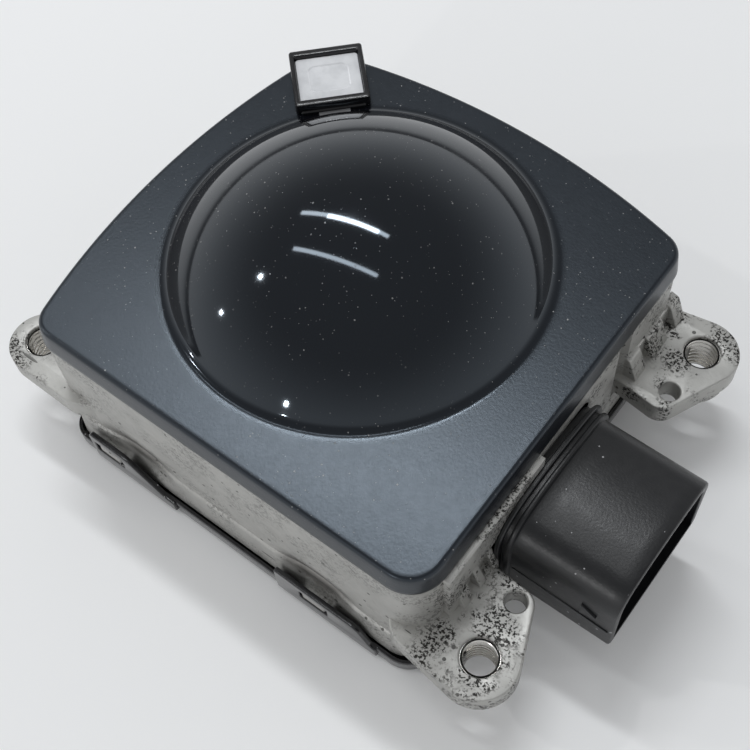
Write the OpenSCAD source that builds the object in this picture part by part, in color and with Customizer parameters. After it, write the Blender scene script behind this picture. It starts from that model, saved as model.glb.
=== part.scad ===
// Long-range radar sensor head with a domed lens cover.
// The origin is on the lens axis at the rear face; +Z points out of the dome, +X out of the connector.

/* [Front cover] */
// Lens axis to the straight cover edge on the connector side
cov_x1 = 37.8; // [34:0.1:42]
// Lens axis to the straight cover edge on the tab side
cov_y0 = 36.6; // [33:0.1:40]
// Radius of the two bowed cover edges
cov_bow = 124; // [110:1:160]
// Corner radius between the two straight cover edges
cov_r = 5; // [4:0.5:7]
// Radius of the other three cover corners
cov_q = 4; // [3:0.5:6]
// Height of the cover's flat face above the rear face
cov_z = 32.9; // [32:0.1:36]
// Height of the cover's side band
band_h = 4.2; // [4:0.1:5]
// Thickness of the cover's flat plate
plate_t = 2.2; // [1.5:0.1:2.5]

/* [Dome] */
// Radius of the dome where it meets the plate, without the fillet
dome_r = 28.7; // [26:0.1:29]
// Height of the dome above the plate
dome_h = 14.5; // [12:0.1:17]
// Radius of the fillet around the foot of the dome
dome_f = 2.2; // [1:0.1:2.5]
// Thickness of the dome skin
skin_t = 2; // [1.2:0.1:2.5]

/* [Housing] */
// Wall thickness of the die-cast housing
wall_t = 2.9; // [2.4:0.1:3.4]
// Height of the moulding step on the outside of the wall
step_z = 9.3; // [8:0.1:10]
// Underside of the partition web
web_z = 11; // [10.5:0.1:11.5]
// Thickness of the partition web
web_t = 2; // [1.5:0.1:2.2]

/* [Mounting ears] */
// Height of the ears' top face
ear_z = 16.1; // [15:0.1:18]
// Thickness of the ear plates
ear_t = 4; // [3:0.1:5]
// Radius of the threaded bore, at the thread crests
thread_r = 2.5; // [2.4:0.05:2.6]
// Outer radius of the thread insert
insert_r = 2.85; // [2.8:0.05:3.2]
// Length of the thread insert
insert_l = 7; // [5:0.1:7.2]
// Radius of the locating holes
loc_r = 1.6; // [1.2:0.05:2]

/* [Rear cover] */
// Height of the rear cover's rim
rim_z = 3.1; // [2.8:0.1:3.6]
// Thickness of the rear cover's floor
floor_t = 1.6; // [1.2:0.1:1.8]
// Height of the snap tab far from the connector
tab1_z = 8; // [6:0.1:9]
// Height of the snap tab near the connector
tab2_z = 6.8; // [6:0.1:9]

/* [Connector] */
// Lens axis to the mouth of the connector shroud
plug_x = 58.3; // [52:0.1:62]
// Number of contacts in one row
pins_row = 4; // [2:1:4]
// Spacing of the contacts
pin_pitch = 3.7; // [3:0.1:4]
// Side of a contact's square section
pin_s = 0.64; // [0.5:0.02:0.8]

/* [Alignment mirror] */
// Side of the mirror frame
mir_a = 12; // [10:0.1:12.5]
// Height of the mirror frame above the cover face
mir_h = 2; // [1.8:0.1:2.4]

/* [Hidden] */

band_z = cov_z - band_h;
// ear hole places
big_holes = [[45.8, -34.0], [45.8, 25.5], [-40.0, -32.8]];
small_holes = [[45.3, -24.6], [45.3, 16.7]];
// board heights
cb_z = 6; cb_t = 1.6;
rf_z = 15.5; rf_t = 1.6;
// places of the board screws
screws = [[-27, -28], [27, -30], [-24, 22], [27, 24]];
// connector section: low and high Y, low and high Z
cy0 = -20.2; cy1 = 4.2; cz0 = 8.2; cz1 = 25.4;
// contact rows
row_z = [14.6, 18.9]; row_x = [32.8, 30.5];
pin_y0 = -7.9 - pin_pitch * (pins_row - 1) / 2;

// ---- outline of the body: two straight sides and two bowed sides ----
function arcpts(c, r, a0, a1, n) = [for (i = [0 : n]) let (a = a0 + (a1 - a0) * i / n) [c[0] + r * cos(a), c[1] + r * sin(a)]];
function ang(c, p) = atan2(p[1] - c[1], p[0] - c[0]);
// o is the outward offset, x1 and y0 the straight sides, b an extra offset of the bowed sides
function plan(o, x1 = cov_x1, y0 = cov_y0, b = 0) =
  let (R = cov_bow + b + o, s = max(cov_r + o, 1), r = max(cov_q + o, 1),
       L = [cov_bow - 35.84, -5.6], T = [1.5, 34.3 - cov_bow],
       x = x1 + o, y = -(y0 + o), q = R - r,
       ca = [x - s, y + s],
       cb = [x - r, T[1] + sqrt(q * q - pow(x - r - T[0], 2))],
       d = norm(T - L), m = (L + T) / 2, h = sqrt(q * q - d * d / 4),
       cc = m + h * [(L - T)[1], (T - L)[0]] / d * -1,
       cd = [L[0] - sqrt(q * q - pow(y + r - L[1], 2)), y + r],
       aT1 = ang(T, cb), aT2 = ang(T, cc), aL1 = ang(L, cc), aL2 = ang(L, cd))
  concat(arcpts(ca, s, -90, 0, 8), arcpts(cb, r, 0, aT1, 7), arcpts(T, R, aT1 + 1, aT2 - 1, 14),
         arcpts(cc, r, aT2, aL1 < 0 ? aL1 + 360 : aL1, 5),
         arcpts(L, R, (aL1 < 0 ? aL1 + 360 : aL1) + 1, (aL2 < 0 ? aL2 + 360 : aL2) - 1, 15),
         arcpts(cd, r, aL2 < 0 ? aL2 + 360 : aL2, 270, 7));
module slab(z0, z1, o = 0, x1 = cov_x1, y0 = cov_y0, b = 0)
  translate([0, 0, z0]) linear_extrude(z1 - z0) polygon(plan(o, x1, y0, b));
module flange(z0, z1, o = 0) slab(z0, z1, o, 37.2, 37.6, 0.4);
module tray(z0, z1, o = 0) slab(z0, z1, o, 38.0, 38.6, 1.2);

// rounded corners for a list of [x, y, radius]
function unit(v) = v / norm(v);
function corner(a, p, b, r) = let (u = unit([a[0] - p[0], a[1] - p[1]]), v = unit([b[0] - p[0], b[1] - p[1]]),
    t = acos(u * v) / 2, c = [p[0], p[1]] + unit(u + v) * r / sin(t),
    s = [p[0], p[1]] + u * r / tan(t), e = [p[0], p[1]] + v * r / tan(t),
    a0 = ang(c, s), a1 = ang(c, e), da = a1 - a0 > 180 ? a1 - a0 - 360 : a1 - a0 < -180 ? a1 - a0 + 360 : a1 - a0)
  r == 0 ? [[p[0], p[1]]] : arcpts(c, r, a0, a0 + da, 6);
function rounded(P) = [for (i = [0 : len(P) - 1]) each corner(P[(i + len(P) - 1) % len(P)], P[i], P[(i + 1) % len(P)], P[i][2])];

// two round ends joined by their common tangents
module link(p1, r1, p2, r2) {
  a = ang(p1, p2); b = acos((r1 - r2) / norm(p2 - p1));
  translate(p1) circle(r1, $fn = 64);
  translate(p2) circle(r2, $fn = 48);
  polygon([p1 + r1 * [cos(a + b), sin(a + b)], p2 + r2 * [cos(a + b), sin(a + b)],
           p2 + r2 * [cos(a - b), sin(a - b)], p1 + r1 * [cos(a - b), sin(a - b)]]);
}
// a Y-Z outline pushed along X
module along_x(x0, x1) translate([x0, 0, 0]) rotate([90, 0, 90]) linear_extrude(x1 - x0) children();
module block(a, b) translate(a) cube(b - a);

// ---- dome ----
base_z = cov_z;
sph_r = (dome_r * dome_r + dome_h * dome_h) / (2 * dome_h);
sph_z = base_z + dome_h - sph_r;
fil_x = sqrt(pow(sph_r + dome_f, 2) - pow(base_z + dome_f - sph_z, 2));
k = sph_r / (sph_r + dome_f);
t_x = fil_x * k; t_z = sph_z + (base_z + dome_f - sph_z) * k;

module front_cover() color([0.06, 0.065, 0.075]) difference() {
  union() {
    slab(band_z, cov_z - 2.2, 0.5);
    slab(cov_z - 2.2, cov_z - 0.6, 0.25);
    slab(cov_z - 0.6, cov_z, 0);
    intersection() {
      translate([0, 0, sph_z]) sphere(sph_r, $fn = 128);
      translate([0, 0, cov_z - 1]) cylinder(h = dome_h + 2, r = dome_r + 0.6, $fn = 128);
    }
    rotate_extrude($fn = 128) difference() {
      polygon([[22, cov_z - 1], [fil_x, cov_z - 1], [fil_x, base_z + dome_f], [t_x, t_z], [22, t_z]]);
      translate([fil_x, base_z + dome_f]) circle(dome_f, $fn = 48);
    }
  }
  slab(band_z - 1, cov_z - plate_t, -1.6);
  intersection() {
    translate([0, 0, sph_z]) sphere(sph_r - skin_t, $fn = 128);
    translate([0, 0, cov_z - plate_t - 1]) cylinder(h = dome_h + 3, r = dome_r, $fn = 128);
  }
}

module dielectric_lens() color([0.16, 0.14, 0.12]) {
  translate([0, 0, cov_z - plate_t - 1.7]) cylinder(h = 1.65, r = 29.5, $fn = 96);
  intersection() {
    translate([0, 0, sph_z]) sphere(sph_r - skin_t - 0.05, $fn = 96);
    translate([0, 0, cov_z - plate_t - 0.2]) cylinder(h = dome_h + 3, r = dome_r, $fn = 96);
  }
}

module cover_seal() color([0.2, 0.2, 0.21]) difference() {
  slab(band_z + 1.3, cov_z - plate_t - 0.05, -1.75);
  slab(band_z, cov_z, -2.5);
}

// ---- die-cast housing ----
module ear(z0, z1) translate([0, 0, z0]) linear_extrude(z1 - z0) {
  // lower right ear
  link([45.7, -34.3], 6.0, [45.3, -25.1], 2.9);
  link([45.7, -34.3], 6.0, [36.6, -35.0], 4.4);
  polygon([[36.5, -21.4], [40.6, -21.7], [45.4, -22.2], [48.0, -25.6], [45.3, -33.0], [35.0, -33]]);
  // upper right ear
  link([45.6, 25.6], 5.9, [44.5, 15.9], 2.9);
  link([45.6, 25.6], 5.9, [36.9, 26.6], 3.3);
  polygon([[36.5, 14.3], [40.8, 13.6], [44.4, 13.0], [45.6, 25.6], [36.5, 29]]);
  // left ear
  link([-40.0, -33.1], 5.4, [-29.5, -34.4], 4.3);
  link([-40.0, -33.1], 5.4, [-33.4, -24.5], 3.2);
  polygon([[-40.0, -33.0], [-29.5, -38.6], [-24.0, -37.4], [-24.0, -35.6], [-31.5, -22.5], [-33.5, -22.5]]);
}
module housing() color([0.70, 0.70, 0.69]) difference() {
  union() {
    difference() {
      union() {
        flange(floor_t + 1, step_z);
        slab(step_z, band_z, 0.3);
        slab(band_z, band_z + 1.25, -1.75);
        ear(ear_z - ear_t, ear_z);
        for (p = big_holes) translate([p[0], p[1], ear_z - 7.7]) cylinder(h = 5, r = 4.7, $fn = 48);
        // webs from the bosses to the wall
        block([37.0, -36.6, step_z], [44.0, -33.8, ear_z - 1]);
        block([37.5, 24.2, step_z], [44.0, 27.0, ear_z - 1]);
        block([-38.0, -35.2, step_z], [-31.0, -32.6, ear_z - 1]);
        // raised strip along the connector wall, with its foot on the ear
        along_x(37.9, 39.2) polygon(rounded([[-31.9, 28.6, 0], [-31.7, ear_z - 0.5, 0.6], [-29.6, ear_z - 0.5, 0.6], [-28.2, 21.6, 1.5],
                                             [-9.6, 22.4, 1], [-9.2, 28.6, 0]]));
        // gussets between the wall and the ears
        for (y = [[-29.6, -21.7], [15.0, 29.5]]) translate([0, y[1], 0]) rotate([90, 0, 0]) linear_extrude(y[1] - y[0])
          polygon([[37.5, ear_z - 1], [40.2, ear_z - 1], [40.2, ear_z + 0.3], [38.4, ear_z + 4.6], [37.5, ear_z + 4.6]]);
      }
      slab(floor_t, web_z, -2.6);
      slab(web_z + web_t, band_z + 2, -2.6);
    }
    // screw bosses on both faces of the web
    for (p = screws) translate([p[0], p[1], cb_z + cb_t]) cylinder(h = rf_z - cb_z - cb_t, r = 2.6, $fn = 32);
    // pedestals that meet the thermal pads
    block([-12, -16, 9.7], [2, -4, web_z + 0.5]);
    block([8, 4, 9.7], [18, 13, web_z + 0.5]);
    // catches in the tab windows
    block([-25.4, -39.0, 4.0], [-20.6, -36.5, 5.8]);
    block([16.9, -39.0, 3.6], [21.2, -36.5, 5.0]);
  }
  // threads and locating holes
  for (p = big_holes) translate([p[0], p[1], 0]) {
    translate([0, 0, 5]) cylinder(h = 20, r = insert_r, $fn = 64);
  }
  for (p = small_holes) translate([p[0], p[1], 10]) cylinder(h = 10, r = loc_r, $fn = 48);
  // screw holes in the bosses
  for (p = screws) translate([p[0], p[1], 0]) {
    cylinder(h = web_z - 0.4, r = 1.25, $fn = 32);
    translate([0, 0, web_z + web_t - 0.6]) cylinder(h = 8, r = 1.25, $fn = 32);
  }
  // slot for the board to board connector
  block([-20.5, 17.5, 10], [-7.5, 23, 14]);
  // passage for the contact legs
  block([28.6, -16.5, 10], [35.6, 0.8, 14]);
  // connector window and its seal groove
  along_x(34, 40) polygon(rounded([[-18.6, 9.9, 2], [2.6, 9.9, 2], [2.6, 23.7, 2], [-18.6, 23.7, 2]]));
  along_x(37.2, 40) polygon(rounded([[-20.2, 8.3, 2.5], [4.2, 8.3, 2.5], [4.2, 25.3, 2.5], [-20.2, 25.3, 2.5]]));
  // pockets cast between the wall and the ears
  for (p = [[-27.6, 1.6], [-24.4, 1.9], [18.2, 1.8], [24.6, 2.4]]) translate([38.2, p[0], ear_z - 0.6])
    linear_extrude(6) polygon([[0, 0], [2.2, 0.5], [2.2, p[1]], [0, p[1] + 0.4]]);
  // recess in the wall beside the connector
  along_x(36.7, 40) polygon([[12.3, 28.4], [11.6, 15.4], [13.6, 13.0], [14.6, 17], [14.9, 28.4]]);
}

module thread_inserts() color([0.62, 0.61, 0.58]) for (p = big_holes) translate([p[0], p[1], ear_z - 0.5 - insert_l]) difference() {
  cylinder(h = insert_l, r = insert_r, $fn = 64);
  translate([0, 0, -1]) cylinder(h = insert_l + 2, r = thread_r, $fn = 64);
}

// ---- rear cover ----
module tab(P, w0, w1, wz0, wz1) translate([0, -38.1, 0]) rotate([90, 0, 0]) linear_extrude(0.9) difference() {
  polygon(P);
  translate([w0, wz0]) square([w1 - w0, wz1 - wz0]);
}
module rear_cover() color([0.035, 0.035, 0.04]) difference() {
  union() {
    tray(0, 0.5, -0.5);
    tray(0.5, floor_t, 0);
    difference() {
      tray(floor_t, rim_z, 0);
      tray(floor_t - 0.5, rim_z + 1, -0.7);
    }
    tab(rounded([[-27.0, 0.5, 0], [-9.4, 0.5, 0], [-9.4, rim_z, 0], [-11.4, rim_z, 4], [-18.6, tab1_z, 4], [-27.0, tab1_z, 0.8]]), -26.0, -20.0, 3.6, 6.2);
    tab(rounded([[11.6, 0.5, 0], [30.6, 0.5, 0], [30.6, rim_z, 0], [29.8, rim_z, 1.2], [27.2, tab2_z, 2], [11.6, tab2_z, 0.3]]), 16.4, 21.7, 3.2, 5.4);
  }
  translate([18, -16, -1]) cylinder(h = 5, r = 2.3, $fn = 48);
  translate([18, -16, -1]) cylinder(h = 2.0, r = 3.6, $fn = 48);
}
module rear_cover_seal() color([0.24, 0.24, 0.25]) difference() {
  flange(floor_t, floor_t + 1, -0.6);
  flange(floor_t - 1, floor_t + 2, -2.1);
}
module pressure_vent() color([0.5, 0.5, 0.52]) translate([18, -16, 0]) {
  translate([0, 0, 0.35]) cylinder(h = 0.65, r = 3.5, $fn = 48);
  translate([0, 0, 0.9]) cylinder(h = 1.6, r = 2.25, $fn = 48);
}

// ---- alignment mirror ----
module at_mirror() translate([-25.3, 25.0, cov_z]) rotate(45) children();
module mirror_frame() color([0.03, 0.03, 0.035]) {
  at_mirror() difference() {
    translate([-mir_a / 2, -mir_a / 2, 0.3]) cube([mir_a, mir_a, mir_h - 0.3]);
    translate([-5.2, -4.8, 0.9]) cube([10.4, 9.6, 3]);
  }
  // foot that hooks over the corner of the cover
  difference() {
    at_mirror() translate([-mir_a / 2 + 0.3, -mir_a / 2 + 0.3, -3.4]) cube([mir_a - 0.6, mir_a - 0.6, 3.9]);
    slab(band_z - 1, cov_z + 0.3, 0.6);
  }
}
module alignment_mirror() color([0.85, 0.86, 0.87]) at_mirror() translate([-5.15, -4.75, 0.9]) cube([10.3, 9.5, 0.35]);
module mirror_pad() color([0.1, 0.1, 0.1]) translate([-22.6, 22.4, cov_z]) rotate(45) translate([-2.5, -3.5, 0]) cube([5, 7, 0.3]);

// ---- connector ----
module shell_outline(o) polygon(rounded([[cy0 - o, cz0 - o, 1.5 + o], [cy1 + o, cz0 - o, 1.5 + o], [cy1 + o, cz1 + o - 0.6, 4 + o], [-8, cz1 + o, 40], [cy0 - o, cz1 + o - 0.6, 5 + o]]));
module connector_housing() color([0.05, 0.05, 0.055]) difference() {
  union() {
    along_x(39.2, 39.9) shell_outline(1.3);
    along_x(38.1, 39.2) shell_outline(0.3);
    along_x(39.9, 40.6) shell_outline(0.3);
    along_x(40.6, 41.3) shell_outline(0.8);
    along_x(41.3, plug_x) shell_outline(0);
    // keying arrow on the side
    translate([0, cy0 + 0.1, 0]) rotate([90, 0, 0]) linear_extrude(0.45) polygon([[53.0, 15.2], [53.0, 18.0], [55.4, 16.6]]);
    along_x(34.6, 38.1) polygon(rounded([[-18.3, 10.2, 1.8], [2.3, 10.2, 1.8], [2.3, 23.4, 1.8], [-18.3, 23.4, 1.8]]));
  }
  along_x(42.0, plug_x + 1) shell_outline(-1.7);
  block([34, -15.6, 12.2], [43, -0.2, 21.3]);
}
module connector_seal() color([0.55, 0.2, 0.12]) along_x(37.2, 38.1) difference() {
  polygon(rounded([[-20.1, 8.4, 2.4], [4.1, 8.4, 2.4], [4.1, 25.2, 2.4], [-20.1, 25.2, 2.4]]));
  polygon(rounded([[-18.7, 9.8, 2], [2.7, 9.8, 2], [2.7, 23.8, 2], [-18.7, 23.8, 2]]));
}
module pins(s) for (r = [0, 1], i = [0 : pins_row - 1]) translate([0, pin_y0 + i * pin_pitch, 0]) {
  block([row_x[r] - s / 2, -s / 2, row_z[r] - s / 2], [51.5, s / 2, row_z[r] + s / 2]);
  block([row_x[r] - s / 2, -s / 2, cb_z - 0.8], [row_x[r] + s / 2, s / 2, row_z[r] + s / 2]);
}
module pin_carrier() color([0.12, 0.12, 0.13]) difference() {
  block([34.8, -15.5, 12.3], [42.6, -0.3, 21.2]);
  pins(pin_s);
}
module connector_pins() color([0.78, 0.75, 0.66]) pins(pin_s);

// ---- electronics ----
module board(z, t, o) slab(z, z + t, o);
module rf_board() color([0.1, 0.28, 0.2]) difference() {
  board(rf_z, rf_t, -3.4);
  for (p = screws) translate([p[0], p[1], rf_z - 1]) cylinder(h = 4, r = 1.4, $fn = 32);
  block([28, -17, rf_z - 1], [40, 1.3, rf_z + 4]);
}
module radar_chips() color([0.08, 0.08, 0.09]) {
  block([-4, -4, rf_z + rf_t], [4, 4, rf_z + rf_t + 0.9]);
  for (x = [-19, 15]) block([x, -14, rf_z + rf_t], [x + 5, -9, rf_z + rf_t + 0.9]);
}
module feed_holder() color([0.85, 0.82, 0.74]) difference() {
  union() {
    block([-14, -7, 18.4], [14, 7, 21]);
    for (x = [-12.2, 12.2], y = [-5.2, 5.2]) translate([x, y, rf_z + rf_t]) cylinder(h = 2, r = 1.5, $fn = 32);
  }
  for (x = [-9, -3, 3, 9]) translate([x, 0, 15]) cylinder(h = 10, r = 1.25, $fn = 32);
}
module feed_rods() color([0.93, 0.93, 0.9]) for (x = [-9, -3, 3, 9]) translate([x, 0, 18.05]) {
  cylinder(h = 5.5, r = 1.2, $fn = 32);
  translate([0, 0, 5.5]) cylinder(h = 1.6, r1 = 1.2, r2 = 0.5, $fn = 32);
}
module control_board() color([0.1, 0.28, 0.2]) difference() {
  board(cb_z, cb_t, -3.4);
  for (p = screws) translate([p[0], p[1], cb_z - 1]) cylinder(h = 4, r = 1.4, $fn = 32);
  for (r = [0, 1], i = [0 : pins_row - 1]) translate([row_x[r] - 0.4, pin_y0 + i * pin_pitch - 0.4, cb_z - 1]) cube([0.8, 0.8, 4]);
}
module control_chips() color([0.08, 0.08, 0.09]) {
  block([-11.5, -15.5, cb_z + cb_t], [1.5, -4.5, cb_z + cb_t + 1.2]);
  block([8.5, 4.5, cb_z + cb_t], [17.5, 12.5, cb_z + cb_t + 1.2]);
  block([-26, -8, cb_z + cb_t], [-19, -1, cb_z + cb_t + 1.0]);
}
module capacitors() color([0.72, 0.72, 0.74]) for (p = [[12, -26], [18.5, -26], [5.5, -26]])
  translate([p[0], p[1], cb_z + cb_t]) cylinder(h = 3.1, r = 2.6, $fn = 32);
module board_connector() color([0.1, 0.1, 0.1]) block([-20, 18, cb_z + cb_t], [-8, 22.5, rf_z]);
module thermal_pads() color([0.6, 0.62, 0.68]) {
  block([-11, -15, cb_z + cb_t + 1.2], [1, -5, 9.7]);
  block([9, 5, cb_z + cb_t + 1.2], [17, 12, 9.7]);
}
module board_screws() color([0.72, 0.72, 0.7]) for (p = screws) translate([p[0], p[1], 0]) {
  translate([0, 0, cb_z - 1.6]) cylinder(h = 1.6, r = 2.2, $fn = 32);
  translate([0, 0, cb_z - 0.5]) cylinder(h = 4.6, r = 1.2, $fn = 32);
}
module rf_screws() color([0.72, 0.72, 0.7]) for (p = screws) translate([p[0], p[1], 0]) {
  translate([0, 0, rf_z + rf_t]) cylinder(h = 1.6, r = 2.2, $fn = 32);
  translate([0, 0, web_z + web_t - 0.2]) cylinder(h = 4.6, r = 1.2, $fn = 32);
}

front_cover();
dielectric_lens();
cover_seal();
housing();
thread_inserts();
rear_cover();
rear_cover_seal();
pressure_vent();
mirror_frame();
alignment_mirror();
mirror_pad();
connector_housing();
connector_seal();
pin_carrier();
connector_pins();
rf_board();
radar_chips();
feed_holder();
feed_rods();
control_board();
control_chips();
capacitors();
board_connector();
thermal_pads();
board_screws();
rf_screws();
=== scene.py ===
import bpy, bmesh, math
from mathutils import Matrix, Vector


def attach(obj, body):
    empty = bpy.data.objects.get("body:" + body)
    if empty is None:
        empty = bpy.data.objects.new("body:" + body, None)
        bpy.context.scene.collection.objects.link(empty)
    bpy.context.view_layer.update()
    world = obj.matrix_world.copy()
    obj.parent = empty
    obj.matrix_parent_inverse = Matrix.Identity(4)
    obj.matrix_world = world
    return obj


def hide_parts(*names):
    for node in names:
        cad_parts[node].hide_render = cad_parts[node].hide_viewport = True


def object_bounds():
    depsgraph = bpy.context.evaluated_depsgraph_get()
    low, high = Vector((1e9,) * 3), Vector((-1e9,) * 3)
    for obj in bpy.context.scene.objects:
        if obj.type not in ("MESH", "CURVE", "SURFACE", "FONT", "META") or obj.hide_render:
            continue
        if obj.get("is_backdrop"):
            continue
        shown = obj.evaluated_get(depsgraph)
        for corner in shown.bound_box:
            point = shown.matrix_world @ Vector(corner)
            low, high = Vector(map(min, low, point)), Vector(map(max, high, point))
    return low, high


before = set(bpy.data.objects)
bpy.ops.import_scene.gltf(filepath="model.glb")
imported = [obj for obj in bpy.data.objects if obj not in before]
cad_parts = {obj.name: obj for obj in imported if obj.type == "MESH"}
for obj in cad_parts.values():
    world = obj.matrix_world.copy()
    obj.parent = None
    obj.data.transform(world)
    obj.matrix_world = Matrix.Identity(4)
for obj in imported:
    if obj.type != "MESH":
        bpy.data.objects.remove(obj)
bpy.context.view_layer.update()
scene = bpy.context.scene
MM = 0.001

# ---------------------------------------------------------------- camera
cam_data = bpy.data.cameras.new("camera")
cam = bpy.data.objects.new("camera", cam_data)
scene.collection.objects.link(cam)
scene.camera = cam
cam_data.lens = 59.225
cam_data.sensor_width = 36
cam_data.clip_start = 0.005
cam_data.clip_end = 20
CX, CY, CZ = Vector((0.79384, 0.60576, -0.05371)), Vector((-0.50202, 0.70261, 0.50431)), Vector((0.34322, -0.37337, 0.86186))
cam.matrix_world = Matrix(((CX.x, CY.x, CZ.x, 0.07277), (CX.y, CY.y, CZ.y, -0.07834), (CX.z, CY.z, CZ.z, 0.18070), (0, 0, 0, 1)))

# ---------------------------------------------------------------- outline of the body, millimetres
BOW, XL, YT = 124.0, -35.84, 34.3
LC, TC = (BOW + XL, -5.6), (1.5, YT - BOW)


def arc(c, r, a0, a1, n):
    return [(c[0] + r * math.cos(math.radians(a0 + (a1 - a0) * i / n)), c[1] + r * math.sin(math.radians(a0 + (a1 - a0) * i / n))) for i in range(n + 1)]


def outline(o, x1=37.8, y0=36.6, b=0.0, s0=5.0, r0=4.0):
    R = BOW + b + o
    s, r = max(s0 + o, 0.6), max(r0 + o, 0.6)
    x, y, q = x1 + o, -(y0 + o), BOW + b + o - max(r0 + o, 0.6)
    ca = (x - s, y + s)
    cb = (x - r, TC[1] + math.sqrt(q * q - (x - r - TC[0]) ** 2))
    dx, dy = TC[0] - LC[0], TC[1] - LC[1]
    d = math.hypot(dx, dy)
    h = math.sqrt(q * q - d * d / 4)
    mx, my = (LC[0] + TC[0]) / 2, (LC[1] + TC[1]) / 2
    cands = [(mx + h * dy / d, my - h * dx / d), (mx - h * dy / d, my + h * dx / d)]
    cc = min(cands, key=lambda p: p[0] - p[1])
    cd = (LC[0] - math.sqrt(q * q - (y + r - LC[1]) ** 2), y + r)
    an = lambda c, p: math.degrees(math.atan2(p[1] - c[1], p[0] - c[0]))
    aT1, aT2 = an(TC, cb), an(TC, cc)
    aL1, aL2 = an(LC, cc) % 360, an(LC, cd) % 360
    return (arc(ca, s, -90, 0, 20) + arc(cb, r, 0, aT1, 16) + arc(TC, R, aT1 + 0.5, aT2 - 0.5, 50) + arc(cc, r, aT2, aL1, 10)
            + arc(LC, R, aL1 + 0.5, aL2 - 0.5, 50) + arc(cd, r, aL2, 270, 16))


N = 480
ANG = [2 * math.pi * i / N for i in range(N)]


def polar(poly):
    """Points of a star-shaped outline at N even angles about the origin."""
    P = sorted([(math.atan2(p[1], p[0]) % (2 * math.pi), math.hypot(*p), p) for p in poly])
    out, j = [], 0
    m = len(P)
    for a in ANG:
        while j < m and P[j][0] < a:
            j += 1
        p, q = P[j - 1][2] if j else P[-1][2], P[j % m][2]
        c, s = math.cos(a), math.sin(a)
        ex, ey = q[0] - p[0], q[1] - p[1]
        den = c * ey - s * ex
        t = (p[0] * ey - p[1] * ex) / den if abs(den) > 1e-9 else math.hypot(*p)
        out.append((t * c, t * s))
    return out


def ring(o, z, **k):
    return [(x, y, z) for x, y in polar(outline(o, **k))]


def circle(r, z):
    return [(r * math.cos(a), r * math.sin(a), z) for a in ANG]


def mixed(a, b, t):
    return [tuple(p[i] * (1 - t) + q[i] * t for i in range(3)) for p, q in zip(a, b)]


def new_object(name, verts, faces, smooth=35):
    me = bpy.data.meshes.new(name)
    me.from_pydata([(x * MM, y * MM, z * MM) for x, y, z in verts], [], faces)
    me.validate()
    bm = bmesh.new()
    bm.from_mesh(me)
    bmesh.ops.recalc_face_normals(bm, faces=bm.faces)
    bm.to_mesh(me)
    bm.free()
    me.polygons.foreach_set("use_smooth", [True] * len(me.polygons))
    me.set_sharp_from_angle(angle=math.radians(smooth))
    ob = bpy.data.objects.new(name, me)
    scene.collection.objects.link(ob)
    return ob


def loft(rings, first=None, last=None, loop=False):
    """Verts and faces through rings of equal length; first and last are points that close the ends."""
    n = len(rings[0])
    verts = [p for r in rings for p in r]
    faces = []
    pairs = [(i, i + 1) for i in range(len(rings) - 1)] + ([(len(rings) - 1, 0)] if loop else [])
    for i, j in pairs:
        for k in range(n):
            l = (k + 1) % n
            faces.append((i * n + k, i * n + l, j * n + l, j * n + k))
    if first:
        verts.append(first)
        c = len(verts) - 1
        faces += [(c, (k + 1) % n, k) for k in range(n)]
    if last:
        verts.append(last)
        c, b = len(verts) - 1, (len(rings) - 1) * n
        faces += [(c, b + k, b + (k + 1) % n) for k in range(n)]
    return verts, faces


def turned(name, profile, centre, n=64, smooth=35):
    """A closed profile of (r, z) turned about a vertical axis at centre."""
    rings = [[(centre[0] + r * math.cos(2 * math.pi * i / n), centre[1] + r * math.sin(2 * math.pi * i / n), z) for i in range(n)] for r, z in profile]
    return new_object(name, *loft(rings, loop=True), smooth=smooth)


def plate(name, outer, holes, thick, bevel, matrix, res=3):
    """A flat plate with holes and rounded edges, centred on its local XY plane."""
    cu = bpy.data.curves.new(name, "CURVE")
    cu.dimensions, cu.fill_mode = "2D", "BOTH"
    cu.extrude, cu.bevel_depth, cu.bevel_resolution = (thick / 2 - bevel) * MM, bevel * MM, res
    cu.offset = -bevel * MM
    for pts in [outer] + holes:
        sp = cu.splines.new("POLY")
        sp.points.add(len(pts) - 1)
        sp.use_cyclic_u = True
        for i, p in enumerate(pts):
            sp.points[i].co = (p[0] * MM, p[1] * MM, 0, 1)
    tmp = bpy.data.objects.new(name + "_c", cu)
    scene.collection.objects.link(tmp)
    bpy.context.view_layer.update()
    me = bpy.data.meshes.new_from_object(tmp.evaluated_get(bpy.context.evaluated_depsgraph_get()))
    bpy.data.objects.remove(tmp)
    bm = bmesh.new()
    bm.from_mesh(me)
    bmesh.ops.remove_doubles(bm, verts=bm.verts, dist=2e-6)
    bmesh.ops.dissolve_degenerate(bm, dist=1e-6, edges=bm.edges)
    bm.transform(Matrix.Translation((0, 0, 0)) @ matrix)
    bmesh.ops.recalc_face_normals(bm, faces=bm.faces)
    bm.to_mesh(me)
    bm.free()
    me.polygons.foreach_set("use_smooth", [True] * len(me.polygons))
    me.set_sharp_from_angle(angle=math.radians(35))
    ob = bpy.data.objects.new(name, me)
    scene.collection.objects.link(ob)
    return ob


def join(name, objs):
    bm = bmesh.new()
    for o in objs:
        bm.from_mesh(o.data)
    me = bpy.data.meshes.new(name)
    bm.to_mesh(me)
    bm.free()
    for o in objs:
        bpy.data.objects.remove(o)
    me.polygons.foreach_set("use_smooth", [True] * len(me.polygons))
    me.set_sharp_from_angle(angle=math.radians(35))
    ob = bpy.data.objects.new(name, me)
    scene.collection.objects.link(ob)
    return ob


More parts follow.
